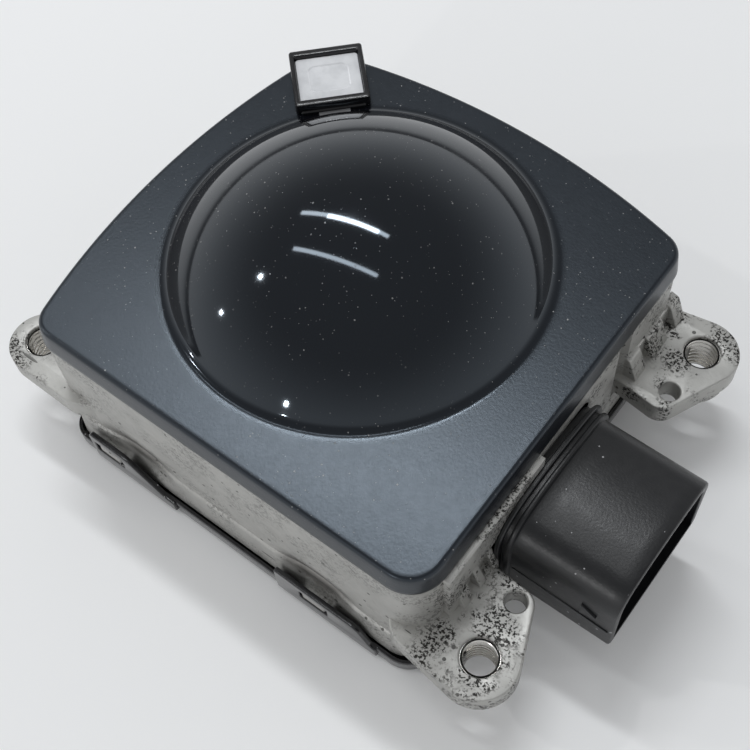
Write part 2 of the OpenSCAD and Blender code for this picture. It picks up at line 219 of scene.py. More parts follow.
def rounded(P, n=6):
    out = []
    m = len(P)
    for i, (x, y, r) in enumerate(P):
        if r == 0:
            out.append((x, y))
            continue
        a, b = Vector(P[i - 1][:2]) - Vector((x, y)), Vector(P[(i + 1) % m][:2]) - Vector((x, y))
        a.normalize(); b.normalize()
        t = a.angle(b) / 2
        c = Vector((x, y)) + (a + b).normalized() * r / math.sin(t)
        s, e = Vector((x, y)) + a * r / math.tan(t), Vector((x, y)) + b * r / math.tan(t)
        a0, a1 = math.atan2(s.y - c.y, s.x - c.x), math.atan2(e.y - c.y, e.x - c.x)
        d = (a1 - a0 + math.pi) % (2 * math.pi) - math.pi
        out += [(c.x + r * math.cos(a0 + d * k / n), c.y + r * math.sin(a0 + d * k / n)) for k in range(n + 1)]
    return out


def hull2(circles, n=72):
    pts = sorted({(round(x + r * math.cos(2 * math.pi * i / n), 5), round(y + r * math.sin(2 * math.pi * i / n), 5)) for x, y, r in circles for i in range(n)})
    def half(ps):
        h = []
        for p in ps:
            while len(h) > 1 and (h[-1][0] - h[-2][0]) * (p[1] - h[-2][1]) - (h[-1][1] - h[-2][1]) * (p[0] - h[-2][0]) <= 0:
                h.pop()
            h.append(p)
        return h
    return half(pts)[:-1] + half(pts[::-1])[:-1]


def hole(x, y, r, n=64):
    return [(x + r * math.cos(2 * math.pi * i / n), y + r * math.sin(2 * math.pi * i / n)) for i in range(n)]


# ---------------------------------------------------------------- materials
def material(name):
    m = bpy.data.materials.new(name)
    m.use_nodes = True
    nt = m.node_tree
    return m, nt, nt.nodes["Principled BSDF"]


def add(nt, kind, **k):
    n = nt.nodes.new(kind)
    for a, v in k.items():
        if a.startswith("in_"):
            n.inputs[int(a[3:])].default_value = v
        else:
            setattr(n, a, v)
    return n


def link(nt, a, b):
    nt.links.new(a, b)


def coords(nt):
    return add(nt, "ShaderNodeTexCoord").outputs["Object"]


def noise(nt, vec, scale, detail=3.0, rough=0.55):
    n = add(nt, "ShaderNodeTexNoise")
    n.inputs["Scale"].default_value, n.inputs["Detail"].default_value, n.inputs["Roughness"].default_value = scale, detail, rough
    link(nt, vec, n.inputs["Vector"])
    return n.outputs["Fac"]


def ramp(nt, fac, lo, hi, a=0.0, b=1.0):
    n = add(nt, "ShaderNodeMapRange", interpolation_type="SMOOTHSTEP")
    for i, v in zip(("From Min", "From Max", "To Min", "To Max"), (lo, hi, a, b)):
        n.inputs[i].default_value = v
    link(nt, fac, n.inputs["Value"])
    return n.outputs["Result"]


def op(nt, kind, a, b=None, clamp=False):
    n = add(nt, "ShaderNodeMath", operation=kind, use_clamp=clamp)
    for i, v in ((0, a), (1, b)):
        if v is None:
            continue
        if isinstance(v, (int, float)):
            n.inputs[i].default_value = v
        else:
            link(nt, v, n.inputs[i])
    return n.outputs[0]


def mixc(nt, fac, a, b):
    n = add(nt, "ShaderNodeMix", data_type="RGBA")
    link(nt, fac, n.inputs[0])
    for s, v in ((6, a), (7, b)):
        if isinstance(v, tuple):
            n.inputs[s].default_value = (*v, 1)
        else:
            link(nt, v, n.inputs[s])
    return n.outputs[2]


def specks(nt, vec, scale, size, share):
    """Small round spots: 1 inside a spot, on a share of the cells."""
    v = add(nt, "ShaderNodeTexVoronoi", feature="F1")
    v.inputs["Scale"].default_value = scale
    link(nt, vec, v.inputs["Vector"])
    sep = add(nt, "ShaderNodeSeparateColor")
    link(nt, v.outputs["Color"], sep.inputs[0])
    keep = op(nt, "LESS_THAN", sep.outputs[0], share)
    rad = op(nt, "MULTIPLY", sep.outputs[1], size)
    near = op(nt, "LESS_THAN", v.outputs["Distance"], rad)
    return op(nt, "MULTIPLY", keep, near)


def bump(nt, height, strength, dist, bsdf):
    b = add(nt, "ShaderNodeBump")
    b.inputs["Strength"].default_value = strength
    b.inputs["Distance"].default_value = dist
    link(nt, height, b.inputs["Height"])
    link(nt, b.outputs[0], bsdf.inputs["Normal"])


def plastic(name, dark, light, rough, grain, bumps, spots=0.0, coat=0.0):
    m, nt, b = material(name)
    v = coords(nt)
    big = noise(nt, v, 60, 4)
    col = mixc(nt, ramp(nt, big, 0.35, 0.7), dark, light)
    if spots:
        s = specks(nt, v, 1500, 0.3, spots)
        col = mixc(nt, s, col, (0.35, 0.35, 0.36))
    link(nt, col, b.inputs["Base Color"])
    fine = noise(nt, v, grain, 2)
    link(nt, ramp(nt, noise(nt, v, 700, 3), 0.3, 0.7, rough - 0.02, rough + 0.03), b.inputs["Roughness"])
    bump(nt, fine, bumps, 0.00012, b)
    b.inputs["Coat Weight"].default_value = coat
    b.inputs["Coat Roughness"].default_value = 0.08
    return m


def metal(name, base, dark, rough, grain, metallic, speck=0.0, painted_scoop_shade=False, bumps=0.35):
    m, nt, b = material(name)
    v = coords(nt)
    cloud = noise(nt, v, 110, 5, 0.6)
    col = mixc(nt, ramp(nt, cloud, 0.3, 0.75), base, tuple(c * 0.86 for c in base))
    pits = noise(nt, v, grain, 3)
    if speck:
        sep = add(nt, "ShaderNodeSeparateXYZ")
        link(nt, v, sep.inputs[0])
        # more corrosion out on the ears than on the walls
        far = ramp(nt, op(nt, "ABSOLUTE", sep.outputs[0]), 0.0365, 0.040)
        patch = ramp(nt, noise(nt, v, 170, 3), 0.42, 0.62)
        dens = op(nt, "MULTIPLY", patch, op(nt, "ADD", op(nt, "MULTIPLY", far, 0.75), 0.22))
        fine = ramp(nt, noise(nt, v, 2400, 3, 0.65), 0.50, 0.57)
        med = ramp(nt, noise(nt, v, 1150, 3, 0.6), 0.60, 0.64)
        s = op(nt, "MULTIPLY", op(nt, "MAXIMUM", fine, med), op(nt, "MULTIPLY", dens, speck), clamp=True)
        dots = specks(nt, v, 1000, 0.33, 0.22)
        s = op(nt, "MAXIMUM", s, op(nt, "MULTIPLY", dots, 0.8))
        # short drag marks along the side wall
        mp = add(nt, "ShaderNodeMapping")
        mp.inputs["Scale"].default_value = (0.16, 1, 1.0)
        mp.inputs["Rotation"].default_value = (0, 0.22, 0)
        link(nt, v, mp.inputs["Vector"])
        drag = specks(nt, mp.outputs[0], 1100, 0.30, 0.16)
        wall = ramp(nt, sep.outputs[1], -0.0355, -0.0366)
        s = op(nt, "MAXIMUM", s, op(nt, "MULTIPLY", op(nt, "MULTIPLY", drag, wall), 0.75))
        col = mixc(nt, s, col, dark)
        # painted shade: dark patches in the two scoops above the snap tabs, where shade falls in the recesses
        if painted_scoop_shade:
            for cx, cz, rx, rz in ((0.0185, 0.0098, 0.0078, 0.0042), (-0.0165, 0.0108, 0.0075, 0.0040)):
                ex = op(nt, "DIVIDE", op(nt, "SUBTRACT", sep.outputs[0], cx), rx)
                ez = op(nt, "DIVIDE", op(nt, "SUBTRACT", sep.outputs[2], cz), rz)
                d = op(nt, "SQRT", op(nt, "ADD", op(nt, "POWER", op(nt, "ABSOLUTE", ex), 2.0), op(nt, "POWER", op(nt, "ABSOLUTE", ez), 2.0)))
                d = op(nt, "ADD", d, op(nt, "MULTIPLY", op(nt, "SUBTRACT", noise(nt, v, 350, 3), 0.5), 0.7))
                k = op(nt, "MULTIPLY", op(nt, "MULTIPLY", ramp(nt, d, 1.15, 0.35), wall), 0.80)
                col = mixc(nt, k, col, (0.05, 0.045, 0.04))
    link(nt, col, b.inputs["Base Color"])
    b.inputs["Metallic"].default_value = metallic
    link(nt, ramp(nt, noise(nt, v, 300, 4), 0.3, 0.7, rough - 0.06, rough + 0.10), b.inputs["Roughness"])
    bump(nt, pits, bumps, 0.00015, b)
    return m


def cover_material():
    m, nt, b = material("cover_black")
    v = coords(nt)
    sep = add(nt, "ShaderNodeSeparateXYZ")
    link(nt, v, sep.inputs[0])
    rad = op(nt, "SQRT", op(nt, "ADD", op(nt, "POWER", op(nt, "ABSOLUTE", sep.outputs[0]), 2.0), op(nt, "POWER", op(nt, "ABSOLUTE", sep.outputs[1]), 2.0)))
    dome = ramp(nt, rad, 0.0308, 0.0280)
    big = noise(nt, v, 45, 4)
    flat_col = mixc(nt, ramp(nt, big, 0.3, 0.7), (0.0045, 0.0052, 0.0075), (0.006, 0.007, 0.010))
    col = mixc(nt, dome, flat_col, (0.0035, 0.0035, 0.0048))
    # dust: fine pale specks, thicker in drifts
    drift = ramp(nt, noise(nt, v, 70, 3), 0.35, 0.65, 0.15, 1.0)
    d1 = specks(nt, v, 1700, 0.24, 0.11)
    d2 = specks(nt, v, 900, 0.12, 0.10)
    d3 = specks(nt, v, 3000, 0.30, 0.10)
    dust = op(nt, "MULTIPLY", op(nt, "MAXIMUM", op(nt, "MAXIMUM", d1, d2), op(nt, "MULTIPLY", d3, 0.75)), drift, clamp=True)
    top = ramp(nt, sep.outputs[2], 0.0290, 0.0320, 0.4, 1.0)
    dust = op(nt, "MULTIPLY", dust, top)
    dust = op(nt, "MULTIPLY", dust, op(nt, "SUBTRACT", 1.0, op(nt, "MULTIPLY", dome, 0.45)))
    col = mixc(nt, op(nt, "MULTIPLY", dust, 0.85), col, (0.42, 0.41, 0.40))
    link(nt, col, b.inputs["Base Color"])
    satin = ramp(nt, noise(nt, v, 900, 2), 0.3, 0.7, 0.285, 0.305)
    film = ramp(nt, noise(nt, v, 90, 3), 0.4, 0.75, 0.05, 0.10)
    mixr = add(nt, "ShaderNodeMix", data_type="FLOAT")
    link(nt, dome, mixr.inputs[0])
    link(nt, satin, mixr.inputs[2])
    link(nt, film, mixr.inputs[3])
    rough = op(nt, "ADD", mixr.outputs[0], op(nt, "MULTIPLY", dust, 0.4))
    link(nt, rough, b.inputs["Roughness"])
    grain = noise(nt, v, 2100, 2)
    g = op(nt, "MULTIPLY", grain, op(nt, "SUBTRACT", 1.0, dome))
    h = op(nt, "ADD", g, op(nt, "MULTIPLY", dust, 0.8))
    bump(nt, h, 0.22, 0.00006, b)
    b.inputs["Specular IOR Level"].default_value = 0.55
    b.inputs["Specular Tint"].default_value = (0.76, 0.88, 1.0, 1)
    return m


M_COVER = cover_material()
M_ALU = metal("cast_aluminium", (0.44, 0.435, 0.415), (0.02, 0.018, 0.016), 0.45, 900, 0.6, speck=1.9, painted_scoop_shade=True)
M_REAR = plastic("gloss_black", (0.006, 0.006, 0.008), (0.012, 0.012, 0.015), 0.16, 900, 0.05, 0.03, 0.6)
M_PLUG = plastic("textured_black", (0.005, 0.0055, 0.0065), (0.008, 0.0085, 0.010), 0.35, 2600, 0.20, 0.05)
M_FRAME = plastic("frame_black", (0.006, 0.006, 0.007), (0.012, 0.012, 0.014), 0.24, 1500, 0.12, 0.02)
M_STEEL = metal("thread_steel", (0.78, 0.76, 0.72), (0.1, 0.1, 0.1), 0.22, 600, 1.0, bumps=0.08)
M_TIN = metal("tinned_contact", (0.80, 0.77, 0.68), (0.1, 0.1, 0.1), 0.25, 1500, 1.0, bumps=0.05)
M_CAN = metal("can_aluminium", (0.75, 0.75, 0.77), (0.1, 0.1, 0.1), 0.3, 1500, 1.0, bumps=0.05)
M_RUB = plastic("grey_silicone", (0.10, 0.10, 0.105), (0.16, 0.16, 0.165), 0.55, 900, 0.2)
M_RED = plastic("red_silicone", (0.30, 0.07, 0.04), (0.40, 0.10, 0.055), 0.5, 900, 0.2)
M_BOARD = plastic("solder_mask", (0.015, 0.09, 0.045), (0.025, 0.13, 0.07), 0.28, 400, 0.15)
M_CHIP = plastic("chip_moulding", (0.012, 0.012, 0.013), (0.022, 0.022, 0.023), 0.5, 2500, 0.2)
M_NAT = plastic("natural_plastic", (0.55, 0.52, 0.44), (0.68, 0.65, 0.56), 0.42, 900, 0.12)
M_LENS = plastic("lens_moulding", (0.05, 0.045, 0.04), (0.09, 0.08, 0.07), 0.3, 900, 0.1)
M_PAD = plastic("gap_pad", (0.22, 0.23, 0.28), (0.32, 0.33, 0.38), 0.65, 900, 0.3)
M_VENT = plastic("vent_grey", (0.20, 0.20, 0.21), (0.30, 0.30, 0.31), 0.5, 900, 0.2)

m, nt, b = material("mirror_glass")
v = coords(nt)
link(nt, mixc(nt, ramp(nt, noise(nt, v, 300, 4), 0.35, 0.7), (0.86, 0.87, 0.89), (0.72, 0.73, 0.75)), b.inputs["Base Color"])
link(nt, ramp(nt, noise(nt, v, 500, 4), 0.3, 0.75, 0.05, 0.22), b.inputs["Roughness"])
b.inputs["Metallic"].default_value = 0.2
bump(nt, noise(nt, v, 350, 2), 0.06, 0.0001, b)
M_MIRROR = m

NODE_MAT = {
    "dielectric_lens": M_LENS, "cover_seal": M_RUB, "rear_cover_seal": M_RUB, "pressure_vent": M_VENT, "mirror_pad": M_RUB,
    "connector_seal": M_RED, "pin_carrier": M_CHIP, "connector_pins": M_TIN, "rf_board": M_BOARD, "radar_chips": M_CHIP,
    "feed_holder": M_NAT, "feed_rods": M_NAT, "control_board": M_BOARD, "control_chips": M_CHIP, "capacitors": M_CAN,
    "board_connector": M_CHIP, "thermal_pads": M_PAD, "board_screws": M_STEEL, "rf_screws": M_STEEL, "front_cover": M_COVER,
    "housing": M_ALU, "thread_inserts": M_STEEL, "rear_cover": M_REAR, "mirror_frame": M_FRAME, "alignment_mirror": M_MIRROR,
    "connector_housing": M_PLUG}
for n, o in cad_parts.items():
    o.data.materials.clear()
    o.data.materials.append(NODE_MAT[n])


def piece(ob, mat, slot, *nodes):
    ob.data.materials.clear()
    ob.data.materials.append(mat)
    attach(ob, "root")
    if nodes:
        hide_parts(*nodes)
    return ob


# ---------------------------------------------------------------- front cover with its dome, one moulded shell
DR, DH, DF, CZ0 = 28.7, 14.5, 2.2, 32.9
SR = (DR * DR + DH * DH) / (2 * DH)
SZ = CZ0 + DH - SR
FX = math.sqrt((SR + DF) ** 2 - (CZ0 + DF - SZ) ** 2)
KX = SR / (SR + DF)
TX, TZ = FX * KX, SZ + (CZ0 + DF - SZ) * KX
rings = [ring(-1.6, 30.7), ring(-1.6, 28.85), ring(-1.5, 28.72), ring(0.30, 28.72), ring(0.46, 28.80), ring(0.52, 28.98), ring(0.46, 29.6), ring(0.26, 31.2), ring(0.16, 32.1)]
for i in range(1, 9):
    a = math.radians(90 * i / 8)
    rings.append(ring(0.12 - 0.72 * (1 - math.cos(a)), 32.18 + 0.72 * math.sin(a)))
edge = ring(-0.9, CZ0)
rings += [edge, ring(-1.8, CZ0)]
inner = circle(31.6, CZ0)
for t in (0.2, 0.4, 0.6, 0.8):
    rings.append(mixed(ring(-1.8, CZ0), inner, t))
rings += [inner, circle(30.7, CZ0), circle(FX + 0.15, CZ0)]
a0, a1 = -90.0, math.degrees(math.atan2(TZ - (CZ0 + DF), TX - FX)) - 0.0
for i in range(0, 11):
    a = math.radians(a0 + (((a1 + 360) % 360 - 360) - a0) * i / 10)
    rings.append(circle(FX + DF * math.cos(a), CZ0 + DF + DF * math.sin(a)))
phi0 = math.asin(TX / SR)
for i in range(1, 44):
    p = phi0 * (1 - i / 44)
    rings.append(circle(SR * math.sin(p), SZ + SR * math.cos(p)))
outer_n = len(rings)
SI = SR - 2.0
phi1 = math.acos((30.7 - SZ) / SI)
v1, f1 = loft(rings, last=(0, 0, SZ + SR))
rin = [rings[0], mixed(rings[0], circle(29, 30.7), 0.5)] + [circle(SI * math.sin(phi1 * (1 - i / 20)), SZ + SI * math.cos(phi1 * (1 - i / 20))) for i in range(0, 20)]
v2, f2 = loft(rin, last=(0, 0, SZ + SI))
off = len(v1)
cover = new_object("front_cover_shell", v1 + v2, f1 + [tuple(i + off for i in f) for f in f2], 40)
bm = bmesh.new(); bm.from_mesh(cover.data); bmesh.ops.remove_doubles(bm, verts=bm.verts, dist=1e-7); bmesh.ops.recalc_face_normals(bm, faces=bm.faces); bm.to_mesh(cover.data); bm.free()
cover.data.set_sharp_from_angle(angle=math.radians(40))
piece(cover, M_COVER, "front_cover", "front_cover")

# ---------------------------------------------------------------- housing wall
def smooth01(t):
    t = min(1.0, max(0.0, t))
    return t * t * (3 - 2 * t)


def wall_ring(z, o, k):
    out = []
    for x, y, zz in ring(o, z, **k):
        if y < -30:
            # scoops above the two snap tabs
            for cx, w in ((18.8, 7.6), (-17.0, 7.4)):
                f = smooth01(1.25 - math.hypot((x - cx) / w, (z - 8.6) / 4.4) * 1.05)
                y += 0.75 * f
        if x > 37 and 11.6 < y < 15.2:
            # upright recess beside the connector
            lo, hi = (12.4, 14.8)
            f = smooth01((y - lo + 0.5) / 0.6) * smooth01((hi + 0.5 - y) / 0.6) * smooth01((z - 13.6) / 1.2) * smooth01((28.5 - z) / 0.5)
            x -= 1.3 * f
        out.append((x, y, zz))
    return out


KF = dict(x1=37.2, y0=37.6, b=0.4)
rings = [ring(-2.6, 2.7), ring(-0.5, 2.62), ring(-0.12, 2.72), ring(0.0, 3.0, **KF)]
rings[1] = ring(-0.5, 2.62, **KF); rings[2] = ring(-0.12, 2.7, **KF)
z = 3.6
while z < 8.9:
    t = (z - 3.0) / 6.0
    a, c = wall_ring(z, 0.0, KF), wall_ring(z, 0.3, {})
    rings.append(mixed(a, c, 0.45 * t))
    z += 0.6
rings.append(mixed(wall_ring(9.1, 0.0, KF), wall_ring(9.1, 0.3, {}), 0.5))
rings.append(mixed(wall_ring(9.3, 0.0, KF), wall_ring(9.3, 0.3, {}), 0.72))
rings.append(wall_ring(9.5, 0.3, {}))
z = 10.1
while z < 28.2:
    rings.append(wall_ring(z, 0.3, {}))
    z += 0.6
rings += [wall_ring(28.45, 0.3, {}), ring(0.05, 28.68), ring(-1.7, 28.68), ring(-1.8, 29.9), ring(-2.6, 29.9), ring(-2.6, 13.0)]
v1, f1 = loft(rings, last=(0, 0, 13.0))
low = [rings[0], ring(-2.6, 11.0)]
v2, f2 = loft(low, last=(0, 0, 11.0))
wall = new_object("wall", v1 + v2, f1 + [tuple(i + len(v1) for i in f) for f in f2], 40)
bm = bmesh.new(); bm.from_mesh(wall.data); bmesh.ops.remove_doubles(bm, verts=bm.verts, dist=1e-7); bmesh.ops.recalc_face_normals(bm, faces=bm.faces); bm.to_mesh(wall.data); bm.free()
EARZ, EART = 16.1, 4.0
T0 = Matrix.Translation((0, 0, (EARZ - EART / 2) * MM))
BIG = [(45.8, -34.0), (45.8, 25.5), (-40.0, -32.8)]
SMALL = [(45.3, -24.6), (45.3, 16.7)]
ears = [
    plate("ear_a", hull2([(45.7, -34.3, 5.99), (45.3, -25.1, 2.9), (36.2, -34.6, 4.4), (36.4, -24.2, 2.6)]), [hole(*BIG[0], 2.85), hole(*SMALL[0], 1.6)], EART, 0.3, T0),
    plate("ear_b", hull2([(45.6, 25.6, 5.9), (44.5, 15.9, 2.9), (36.4, 26.6, 3.3), (36.4, 16.6, 2.6)]), [hole(*BIG[1], 2.85), hole(*SMALL[1], 1.6)], EART, 0.3, T0),
    plate("ear_c", hull2([(-40.0, -33.1, 5.385), (-29.5, -34.3, 4.3), (-33.2, -24.5, 3.2), (-26.0, -35.0, 2.0)]), [hole(*BIG[2], 2.85)], EART, 0.3, T0)]
for i, (x, y) in enumerate(BIG):
    ears.append(turned("boss%d" % i, [(2.85, 12.6), (2.85, 8.6), (3.05, 8.4), (4.3, 8.4), (4.62, 8.55), (4.75, 8.9), (4.85, 11.6), (5.0, 12.6)], (x, y)))


def prism_x(name, pts, x0, x1, bevel=0.15):
    """A Y-Z outline as a slab from x0 to x1."""
    mt = Matrix(((0, 0, 1, (x0 + x1) / 2 * MM), (1, 0, 0, 0), (0, 1, 0, 0), (0, 0, 0, 1)))
    return plate(name, pts, [], x1 - x0, bevel, mt)


def prism_y(name, pts, y0, y1, bevel=0.15):
    """An X-Z outline as a slab from y0 to y1."""
    mt = Matrix(((1, 0, 0, 0), (0, 0, -1, (y0 + y1) / 2 * MM), (0, 1, 0, 0), (0, 0, 0, 1)))
    return plate(name, pts, [], y1 - y0, bevel, mt)


extra = [prism_x("strip", rounded([(-31.9, 28.6, 0.3), (-31.7, 15.7, 0.6), (-29.6, 15.7, 0.6), (-28.2, 21.6, 1.5), (-9.6, 22.4, 1), (-9.2, 28.6, 0.3)]), 37.6, 39.2, 0.25)]
rib = rounded([(37.3, 15.2, 0), (40.3, 15.2, 0), (40.2, 16.6, 0.6), (38.7, 20.4, 0.8), (37.3, 20.8, 0)])
for y0, y1 in ((-29.7, -27.5), (-25.9, -24.5), (-22.5, -21.3), (15.1, 18.2), (20.1, 24.5), (27.0, 29.6)):
    extra.append(prism_y("rib", rib, y0, y1, 0.2))
extra.append(prism_y("backs", rounded([(37.2, 15.4, 0), (38.5, 15.4, 0), (38.35, 20.3, 0.5), (37.2, 20.5, 0)]), 15.2, 29.5, 0.1))
extra.append(prism_y("backs2", rounded([(37.2, 15.4, 0), (38.5, 15.4, 0), (38.35, 20.3, 0.5), (37.2, 20.5, 0)]), -29.6, -21.5, 0.1))
for x0, x1, y0, y1 in ((37.0, 43.6, -36.6, -33.8), (37.2, 43.6, 24.2, 27.0), (-38.0, -31.0, -35.2, -32.6)):
    extra.append(prism_y("web", rounded([(x0, 9.4, 0.2), (x1, 9.4, 0.2), (x1, 14.0, 0.2), (x0, 14.0, 0.2)]), y0, y1, 0.3))
extra.append(prism_y("catch_a", rounded([(-25.2, 4.1, 0.3), (-20.8, 4.1, 0.3), (-20.8, 5.7, 0.3), (-25.2, 5.7, 0.3)]), -38.9, -36.6, 0.2))
extra.append(prism_y("catch_b", rounded([(16.9, 3.7, 0.3), (21.2, 3.7, 0.3), (21.2, 4.9, 0.3), (16.9, 4.9, 0.3)]), -38.9, -36.6, 0.2))
housing = join("die_cast_housing", [wall] + ears + extra)
piece(housing, M_ALU, "housing", "housing")

# ---------------------------------------------------------------- wire thread inserts
def thread(name, x, y, z0, z1, pitch=1.0, n=48):
    """A sleeve whose inner wall is a helical thread."""
    prof = [(0.0, 2.50), (0.16, 2.50), (0.42, 2.78), (0.58, 2.78), (0.84, 2.50)]
    turns = (z1 - z0) / pitch
    rows = int(turns) + 2
    verts, faces = [], []
    P = [(k + u, r) for k in range(-1, rows) for u, r in prof]
    for i in range(n):
        a = 2 * math.pi * i / n
        for t, r in P:
            zz = min(max(z0 + (t + i / n) * pitch, z0), z1)
            verts.append((x + r * math.cos(a), y + r * math.sin(a), zz))
        verts.append((x + 2.84 * math.cos(a), y + 2.84 * math.sin(a), z1))
        verts.append((x + 2.84 * math.cos(a), y + 2.84 * math.sin(a), z0))
    m = len(P) + 2
    for i in range(n - 1):
        for k in range(m):
            l = (k + 1) % m
            faces.append((i * m + k, (i + 1) * m + k, (i + 1) * m + l, i * m + l))
    # the last column meets the first one pitch higher
    s = len(prof)
    for k in range(len(P) - 1 - s):
        faces.append(((n - 1) * m + k, 0 * m + k + s, 0 * m + k + s + 1, (n - 1) * m + k + 1))
    faces.append(((n - 1) * m + m - 2, m - 2, m - 1, (n - 1) * m + m - 1))
    return new_object(name, verts, faces, 50)


th = [thread("t%d" % i, x, y, 8.6, 15.6) for i, (x, y) in enumerate(BIG)]
threads = join("wire_threads", th)
piece(threads, M_STEEL, "thread_inserts", "thread_inserts")

# ---------------------------------------------------------------- rear cover
KT = dict(x1=38.0, y0=38.6, b=1.2)
rs = [ring(-2.4, 0.0, **KT), ring(-1.0, 0.0, **KT), ring(-0.5, 0.07, **KT), ring(-0.16, 0.26, **KT), ring(-0.03, 0.6, **KT), ring(-0.01, 1.0, **KT), ring(-0.12, 2.2, **KT),
      ring(-0.04, 2.45, **KT), ring(-0.01, 2.7, **KT), ring(-0.05, 2.95, **KT), ring(-0.14, 3.16, **KT), ring(-0.42, 3.16, **KT), ring(-0.64, 3.02, **KT), ring(-0.7, 2.7, **KT), ring(-0.7, 1.6, **KT), ring(-3.0, 1.6, **KT)]
tray = new_object("tray", *loft(rs, first=(0, 0, 0), last=(0, 0, 1.6)), smooth=45)


def window(x0, x1, z0, z1):
    return rounded([(x0, z0, 0.25), (x1, z0, 0.25), (x1, z1, 0.25), (x0, z1, 0.25)], 3)


def tab(name, P, win):
    mt = Matrix(((1, 0, 0, 0), (0, 0, -1, -38.55 * MM), (0, 1, 0, 0), (0, 0, 0, 1)))
    return plate(name, rounded(P), [window(*win)], 0.9, 0.2, mt)


t1 = tab("tab1", [(-27.0, 0.6, 0.4), (-9.4, 0.6, 0.4), (-9.6, 3.0, 0.2), (-11.6, 3.3, 4), (-18.8, 7.9, 5), (-27.0, 8.0, 0.8)], (-26.0, -20.0, 3.6, 6.2))
t2 = tab("tab2", [(11.6, 0.6, 0.3), (30.8, 0.6, 0.3), (30.6, 3.0, 0.2), (29.7, 3.2, 1.4), (27.2, 6.7, 2.4), (11.6, 6.8, 0.3)], (16.4, 21.7, 3.2, 5.4))
rear = join("rear_tray", [tray, t1, t2])
piece(rear, M_REAR, "rear_cover", "rear_cover")

# ---------------------------------------------------------------- connector shroud
Y0, Y1, Z0, Z1 = -20.2, 4.2, 8.2, 25.4


def shell(o, n=8):
    return rounded([(Y0 - o, Z0 - o, 1.5 + o), (Y1 + o, Z0 - o, 1.5 + o), (Y1 + o, Z1 + o - 1.6, max(4.0 + o, .5)), (-6.0, Z1 + o, 45), (-12.5, Z1 + o, 25), (Y0 - o, Z1 + o - 1.4, max(5.2 + o, .5))], n)


def xring(o, x, dy=0.0):
    return [(x, y + dy, z) for y, z in shell(o)]


S = [xring(0.3, 37.9), xring(0.3, 39.1), xring(1.15, 39.2), xring(1.3, 39.35), xring(1.3, 39.75), xring(1.15, 39.9), xring(0.3, 39.95), xring(0.3, 40.5), xring(0.7, 40.6),
     xring(0.8, 40.75), xring(0.8, 41.15), xring(0.7, 41.3), xring(0.12, 41.5), xring(0.0, 41.9)]
for i in range(1, 9):
    S.append(xring(-0.12 * i / 8, 41.9 + 16.0 * i / 8))
S += [xring(-0.14, 57.95), xring(-0.22, 58.15), xring(-0.42, 58.28), xring(-0.8, 58.3), xring(-1.4, 58.28), xring(-1.6, 58.15), xring(-1.7, 57.9)]
for i in range(1, 7):
    S.append(xring(-1.7 - 0.06 * i / 6, 57.9 - 15.9 * i / 6))
cv, cf = loft(S, first=(37.9, -8, 17), last=(42.0, -8, 17))
shroud = new_object("shroud", cv, cf, 35)
key = prism_y("key", [(53.0, 15.1), (55.5, 16.6), (53.0, 18.1)], -20.5, -19.6, 0.12)
ledge = prism_y("ledge", rounded([(41.6, 14.2, 0.1), (57.6, 13.4, 0.1), (57.6, 13.9, 0.1), (41.6, 14.7, 0.1)], 2), -20.28, -19.6, 0.06)
spigot = prism_x("spigot", rounded([(-18.3, 10.2, 1.8), (2.3, 10.2, 1.8), (2.3, 23.4, 1.8), (-18.3, 23.4, 1.8)]), 34.6, 38.1, 0.2)
shroud = join("connector_shroud", [shroud, key, ledge, spigot])
piece(shroud, M_PLUG, "connector_housing", "connector_housing")

# ---------------------------------------------------------------- mirror and its frame
MT = Matrix.Translation((-25.3 * MM, 25.0 * MM, 0)) @ Matrix.Rotation(math.radians(45), 4, "Z")


def sq(a, b, z, r, n=6):
    return [(x, y, z) for x, y in rounded([(-a, -b, r), (a, -b, r), (a, b, r), (-a, b, r)], n)]


FR = [sq(5.6, 5.6, 33.2, 0.3), sq(5.85, 5.85, 33.2, 0.45), sq(6.0, 6.0, 33.35, 0.5), sq(6.0, 6.0, 34.65, 0.5), sq(5.92, 5.92, 34.83, 0.45), sq(5.75, 5.75, 34.9, 0.4), sq(5.42, 5.05, 34.9, 0.35),
      sq(5.28, 4.9, 34.85, 0.3), sq(5.2, 4.8, 34.7, 0.3), sq(5.2, 4.8, 33.8, 0.3)]
fv, ff = loft(FR, first=(0, 0, 33.2), last=(0, 0, 33.8))
frame_ob = new_object("mframe", fv, ff, 40)
frame_ob.data.transform(MT)
# shelf under the frame towards the dome, and the hook over the corner
foot = [sq(5.1, 0.9, 32.92, 0.3), sq(5.2, 1.0, 33.0, 0.35), sq(5.2, 1.0, 33.4, 0.35), sq(5.0, 0.8, 33.6, 0.3)]
vv, ffc = loft(foot, first=(0, 0, 32.92), last=(0, 0, 33.6))
foot_ob = new_object("mfoot", vv, ffc, 40)
foot_ob.data.transform(MT @ Matrix.Translation((0, -5.3 * MM, 0)))
side_ob = []
for sx in (-1, 1):
    vs, fs = loft([sq(0.5, 4.2, 32.92, 0.2), sq(0.5, 4.2, 33.4, 0.2)], first=(0, 0, 32.92), last=(0, 0, 33.4))
    so = new_object("mside", vs, fs, 40)
    so.data.transform(MT @ Matrix.Translation((sx * 5.2 * MM, -1.5 * MM, 0)))
    side_ob.append(so)
hook = [sq(5.0, 0.45, 28.9, 0.3), sq(5.3, 0.6, 29.2, 0.35), sq(5.6, 0.75, 33.3, 0.4)]
vh, fh = loft(hook, first=(0, 0, 28.9), last=(0, 0, 33.3))
hook_ob = new_object("mhook", vh, fh, 40)
hook_ob.data.transform(MT @ Matrix.Translation((0, 5.05 * MM, 0)))
mf = join("mirror_carrier", [frame_ob, foot_ob, hook_ob] + side_ob)
piece(mf, M_FRAME, "mirror_frame", "mirror_frame")
